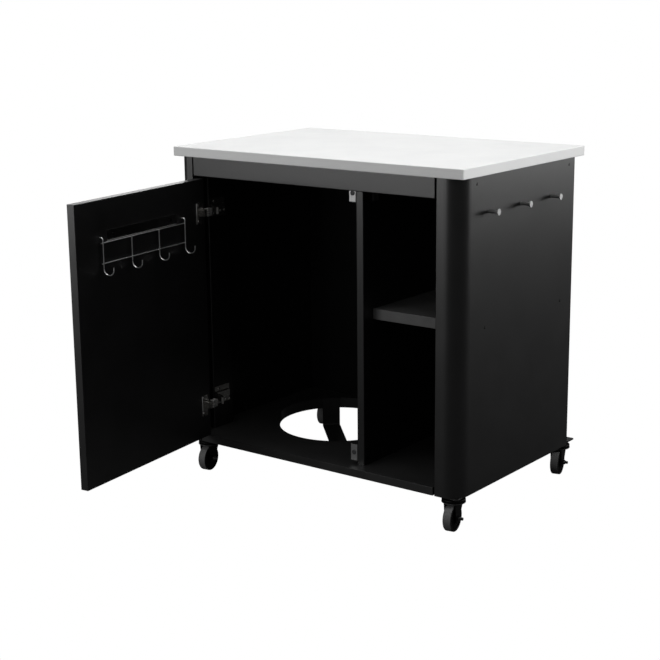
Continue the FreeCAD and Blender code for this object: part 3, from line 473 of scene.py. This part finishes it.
hinge = {
    "flangeWidth": 0.016,
    "linkThick": 0.0125,
    "flangeScrewUp": 0.0215,  # from the hinge's middle, as plateScrewUp
    "flangeScrewRadius": 0.0036,
    "plateScrewUp": 0.0165,
    "plateScrewRadius": 0.004,
    "plateThick": 0.002,
    "armScrewRadius": 0.0038,
    "armScrewsBack": (0.012, 0.028),  # from the arm's front end
    "screwDome": 0.0014,
    "coverStart": 0.0072,  # from the cup's free end, as coverEnd
    "coverEnd": 0.0272,
    "coverHigh": 0.0204,
    "coverThick": 0.013,
    "coverProud": 0.0007,
    "coverGrooves": 2,
    "grooveWidth": 0.002,
    "grooveDepth": 0.0012,
    "cornerAngle": 1.4,  # edges of the cover that fold by more than this are rounded
    "cornerRadius": 0.0004,
    "rimRadius": 0.0009,
    "rimHalf": 0.0268,
    "rimEnd": 0.7,  # of its radius: where the rim's rounded ends have their middle point
}


def makeHingeScrews(where):
    low, high = nodeBox(f"hinge_cup_{where}", doorPlace)
    across, flange, middle = high.x - hinge["flangeWidth"] / 2, high.y - hinge["linkThick"], (low.z + high.z) / 2
    cupSpots = [doorPlace @ Vector((across, flange, middle + side * hinge["flangeScrewUp"])) for side in (-1, 1)]
    low, high = nodeBox(f"hinge_mount_{where}")
    plateFace, along, middle = low.x + hinge["plateThick"], (low.y + high.y) / 2, (low.z + high.z) / 2
    plateSpots = [(plateFace, along, middle + side * hinge["plateScrewUp"]) for side in (-1, 1)]
    armSpots = [(high.x, low.y + back, middle) for back in hinge["armScrewsBack"]]
    rightward = (1, 0, 0)
    for kind, spots, way, radius, body in (("Cup", cupSpots, doorInward, hinge["flangeScrewRadius"], "door"),
                                           ("Plate", plateSpots, rightward, hinge["plateScrewRadius"], "root"),
                                           ("Arm", armSpots, rightward, hinge["armScrewRadius"], "root")):
        makeScrewCaps(f"hinge{kind}Screws_{where}", spots, way, radius, hinge["screwDome"], "hinge_nickel", body)


# Grooved cover over a hinge's link, and the rolled rim along the free side of its flange.
def makeHingeTrim(where):
    low, high = nodeBox(f"hinge_cup_{where}", doorPlace)
    middle, face, half = (low.z + high.z) / 2, high.y + hinge["coverProud"], hinge["coverHigh"] / 2
    outline = [(face - hinge["coverThick"], -half), (face, -half)]
    for groove in range(hinge["coverGrooves"]):
        centre = half * ((groove + 1) * 2 / (hinge["coverGrooves"] + 1) - 1)
        width, bottom = hinge["grooveWidth"] / 2, face - hinge["grooveDepth"]
        outline += [(face, centre - width), (bottom, centre - width / 2),
                    (bottom, centre + width / 2), (face, centre + width)]
    outline += [(face, half), (face - hinge["coverThick"], half)]
    cover, start = bmesh.new(), low.x + hinge["coverStart"]
    side = cover.faces.new([cover.verts.new((start, out, middle + up)) for out, up in outline])
    moved = bmesh.ops.extrude_face_region(cover, geom=[side])["geom"]
    bmesh.ops.translate(cover, vec=(hinge["coverEnd"] - hinge["coverStart"], 0, 0), verts=onlyCorners(moved))
    roundEdges(cover, [edge for edge in cover.edges
                       if edge.is_manifold and edge.calc_face_angle(0) > hinge["cornerAngle"]], hinge["cornerRadius"])
    radius, reach = hinge["rimRadius"], hinge["rimHalf"]
    shoulder = radius * hinge["rimEnd"]
    rim = spun([(0, -reach - radius), (shoulder, -reach - shoulder), (radius, -reach), (radius, reach),
                (shoulder, reach + shoulder), (0, reach + radius)], 16)
    gathered = bmesh.new()
    addAsBuilt(gathered, cover)
    addCopies(gathered, rim, [((high.x - radius, high.y - hinge["linkThick"], middle), upward)])
    bmesh.ops.transform(gathered, matrix=doorPlace, verts=gathered.verts)
    trim = makePiece(f"hingeTrim_{where}", gathered, "hinge_nickel", "door")
    # The trim gets the brighter copy of the nickel: painted light for its glints.
    finish(trim, "satin_nickel")


for where in ("upper", "lower"):
    makeHingeScrews(where)
    makeHingeTrim(where)
print("hinge screws and trim built")

caster = {
    "canopyRadius": 0.030,
    "canopyDrop": 0.009,
    "rimBead": 0.0011,
    "webHalf": 0.0095,
    "faceInner": 0.0095,
    "faceOuter": 0.0275,
    "ribs": 6,
    "ribWidth": 0.0022,
    "ribHeight": 0.0008,
    "ribEdge": 0.4,  # of the rib's height
    "ringRadius": 0.019,
    "ringShoulder": 0.6,  # of the rib's height
    "ringCrown": 0.5,  # of the rib's width
    "cheekFace": 0.0157,  # from the wheel's middle, as axleReach
    "axleReach": 0.0295,
    "axleRadius": 0.004,
    "axleEnd": 0.7,  # of the axle's radius
    "nutRadius": 0.0065,
    "nutHeight": 0.0065,
    "nutChamfer": 0.0006,
    "headRadius": 0.0062,
    "headHeight": 0.002,
    "headLine": ((0, 1), (0.6, 1), (0.9, 0.7), (1, 0.25), (1, 0)),  # shares of the head's radius and height
    "threadPitch": 0.001,
    "threadDepth": 0.0005,
}
casterNames = [name.removeprefix("swivel_") for name in joints if name.startswith("swivel_")]


# Rolled bead round the lower edge of a fork's canopy.
def makeCanopyBead(where):
    spot = Vector(joints[f"swivel_{where}"]["pos_m"])
    spot.z = nodeBox(f"caster_fork_{where}")[1].z - caster["canopyDrop"]
    shape = bmesh.new()
    out = Matrix.Translation((caster["canopyRadius"] - caster["rimBead"] / 2, 0, 0))
    bmesh.ops.create_circle(shape, segments=10, radius=caster["rimBead"],
                            matrix=out @ Matrix.Rotation(math.pi / 2, 4, "X"))
    spinRound(shape, shape.verts[:] + shape.edges[:], 64)
    bmesh.ops.translate(shape, vec=spot, verts=shape.verts)
    makePiece(f"canopyBead_{where}", shape, "caster_steel", f"fork_{where}")


# Moulded ribs and ring on both faces of a wheel.
def makeWheelFaces(where):
    spin = joints[f"spin_{where}"]
    height, half = caster["ribHeight"], caster["ribWidth"] / 2
    length = caster["faceOuter"] - caster["faceInner"]
    out = Matrix.Translation(((caster["faceOuter"] + caster["faceInner"]) / 2, 0, 0))
    size = Matrix.Diagonal((length, caster["ribWidth"], height * 2, 1))
    face = bmesh.new()
    for step in range(caster["ribs"]):
        turn = Matrix.Rotation(step * math.tau / caster["ribs"], 4, "Z")
        rib = bmesh.ops.create_cube(face, size=1, matrix=turn @ out @ size)["verts"]
        roundEdges(face, list({edge for corner in rib for edge in corner.link_edges}), height * caster["ribEdge"])
    radius, crown, shoulder = caster["ringRadius"], half * caster["ringCrown"], height * caster["ringShoulder"]
    ring = spun([(radius - half, -height), (radius - half, shoulder), (radius - crown, height),
                 (radius + crown, height), (radius + half, shoulder), (radius + half, -height)], 48)
    addCopies(face, ring, [((0, 0, 0), upward)])
    middle, axle = Vector(spin["pos_m"]), Vector(spin["axis"])
    both = bmesh.new()
    addCopies(both, face, [(middle + side * caster["webHalf"] * axle, side * axle) for side in (-1, 1)])
    makePiece(f"wheelFaces_{where}", both, "wheel_hub", f"wheel_{where}")


# Axle bolt: a low domed head on the wheel's left, a chamfered nut and the threaded end on its right.
def makeAxle(where):
    spin = joints[f"spin_{where}"]
    radius, cheek, reach = caster["axleRadius"], caster["cheekFace"], caster["axleReach"]
    nutTop, pitch = cheek + caster["nutHeight"], caster["threadPitch"]
    line = [(caster["headRadius"] * out, -cheek - caster["headHeight"] * up) for out, up in caster["headLine"]]
    line += [(radius, -cheek), (radius, nutTop)]
    for turn in range(int((reach - nutTop) / pitch)):
        up = nutTop + turn * pitch
        line += [(radius, up + pitch * 0.5), (radius - caster["threadDepth"], up + pitch)]
    line += [(radius * caster["axleEnd"], reach), (0, reach)]
    nut = nutShape(caster["nutRadius"], caster["nutHeight"], caster["nutChamfer"], seat=cheek)
    gathered = bmesh.new()
    for form in (spun(line, 32), nut):
        addCopies(gathered, form, [(spin["pos_m"], spin["axis"])])
    makePiece(f"axle_{where}", gathered, "caster_steel", f"fork_{where}", f"caster_axle_{where}")


lockNut = {
    "chamfer": 0.0007,
    "boreRadius": 0.00505,
    "collarHeight": 0.002,
    "collarShare": 0.8,  # of the nut's radius
    "collarFoot": 0.9,  # of the nut's height
}


# Lock nuts with chamfered edges and a round collar on top.
def makeLockNuts():
    gathered, chamfer = bmesh.new(), lockNut["chamfer"]
    for low, high in looseBoxes("caster_nuts"):
        radius, height = (high.x - low.x) / 2, high.z - low.z - lockNut["collarHeight"]
        nut = nutShape(radius, height, chamfer, turn=math.pi / 6)
        inner, outer = lockNut["boreRadius"], radius * lockNut["collarShare"]
        foot, top = height * lockNut["collarFoot"], height + lockNut["collarHeight"]
        collar = spun([(inner, foot), (outer, foot), (outer, top - chamfer), (outer - chamfer, top), (inner, top),
                       (inner, foot)], 32)
        addCopies(nut, collar, [((0, 0, 0), upward)])
        addCopies(gathered, nut, [(((low.x + high.x) / 2, (low.y + high.y) / 2, low.z), upward)])
    makePiece("lockNuts", gathered, "bracket_zinc", "root", "caster_nuts")


for where in casterNames:
    makeCanopyBead(where)
    makeWheelFaces(where)
    makeAxle(where)
makeLockNuts()
print("caster fittings built")

# Studio: pale floor, soft lamps, and a world that is white where it is seen.
studio = {
    "floorHalf": 30.0,
    "floorColour": grey(0.03),
    "floorRoughness": 0.9,
    "floorMirrored": 0.02,  # how white it is in reflections, where 1 is as white as the camera sees it
    "worldMirrored": 0.12,
    "worldLight": 0.12,
    "wattsForRadiance": 4,  # a lamp's watts for each square metre and each step of radiance
}
# Each lamp: middle of its face, what it looks at, width, height and radiance. False: no surface mirrors it.
lamps = {
    "key": ((-0.3, -0.3, 2.9), (0, 0, -0.05), 2.4, 2.4, 3.0),
    "right": ((3.0, 0.1, 1.15), (0.4, 0, 0), 1.6, 1.0, 8.4, False),
    "side": ((2.4, 2.7, 0.12), (0.4, 0.1, -0.3), 2.2, 0.7, 4.3),
    "front": ((-1.5, -3.2, 0.15), (0, -0.2, -0.2), 2.4, 0.7, 5.0),
    "back": ((-2.9, 3.3, 1.15), (-0.4, -0.4, -0.1), 2.6, 1.0, 3.0),
    "flash": ((1.2, -2.6, 1.5), (0, -0.2, -0.4), 0.3, 0.3, 10.0),
}


# One for a ray from the camera, less for one from a reflection or clear material, else nothing.
def seenRay(tree, mirroredShare):
    path = addNode(tree, "ShaderNodeLightPath", {}).outputs
    mirrored = calculate(tree, "MAXIMUM", path["Is Glossy Ray"], path["Is Transmission Ray"])
    less = calculate(tree, "MULTIPLY", mirrored, mirroredShare)
    return calculate(tree, "MAXIMUM", path["Is Camera Ray"], less)


def makeFloor():
    mesh = bpy.data.meshes.new("floor")
    shape = bmesh.new()
    bmesh.ops.create_grid(shape, x_segments=1, y_segments=1, size=studio["floorHalf"],
                          matrix=Matrix.Translation((0, 0, floorHeight)))
    shape.to_mesh(mesh)
    shape.free()
    floor = addObject("floor", mesh)
    material, tree, shader = newMaterial("floorPaper")
    feed(tree, shader, colour=(*studio["floorColour"], 1), roughness=studio["floorRoughness"], specular=0.0)
    glow = addNode(tree, "ShaderNodeEmission", {"Color": (1, 1, 1, 1), "Strength": 1.0})
    share = seenRay(tree, studio["floorMirrored"])
    both = addNode(tree, "ShaderNodeMixShader", {0: share, 1: shader.outputs[0], 2: glow.outputs[0]})
    tree.links.new(both.outputs[0], tree.nodes["Material Output"].inputs["Surface"])
    mesh.materials.append(material)


def makeWorld():
    world = bpy.data.worlds.new("studio")
    world.use_nodes = True
    bpy.context.scene.world = world
    tree = world.node_tree
    seen = {"Value": seenRay(tree, studio["worldMirrored"]), "To Min": studio["worldLight"], "To Max": 1.0}
    strength = addNode(tree, "ShaderNodeMapRange", seen).outputs["Result"]
    background = tree.nodes["Background"]
    background.inputs["Color"].default_value = (1, 1, 1, 1)
    tree.links.new(strength, background.inputs["Strength"])


def makeLamp(name, place, target, width, height, radiance, mirrored=True):
    lamp = bpy.data.lights.new(name + "Lamp", "AREA")
    lamp.shape = "RECTANGLE"
    lamp.size, lamp.size_y = width, height
    lamp.energy = radiance * width * height * studio["wattsForRadiance"]
    holder = addObject(name + "Lamp", lamp)
    holder.location = place
    holder.rotation_mode = "QUATERNION"
    holder.rotation_quaternion = (Vector(target) - holder.location).to_track_quat("-Z", "Y")
    holder.visible_camera = False
    holder.visible_glossy = mirrored


makeFloor()
makeWorld()
for lampName, lampValues in lamps.items():
    makeLamp(lampName, *lampValues)

# Where the photograph was taken from, solved from the cart's straight edges.
view = {
    "imageWidth": 660,
    "focalPixels": 1465.6,
    "sensorWidth": 36.0,
    "place": (2.2417, -3.1409, 0.4236),
    "azimuth": 37.414,
    "elevation": 13.411,
    "roll": -0.577,
}


def makeCamera():
    lens = bpy.data.cameras.new("camera")
    lens.sensor_width = view["sensorWidth"]
    lens.lens = lens.sensor_width * view["focalPixels"] / view["imageWidth"]
    camera = addObject("camera", lens)
    camera.location = view["place"]
    across, up = math.radians(view["azimuth"]), math.radians(view["elevation"])
    aim = Vector((-math.sin(across) * math.cos(up), math.cos(across) * math.cos(up), -math.sin(up)))
    camera.rotation_mode = "QUATERNION"
    camera.rotation_quaternion = aim.to_track_quat("-Z", "Y") @ Quaternion((0, 0, 1), math.radians(view["roll"]))
    bpy.context.scene.camera = camera


makeCamera()
bpy.context.scene.view_settings.view_transform = "Standard"
print("studio and camera ready")
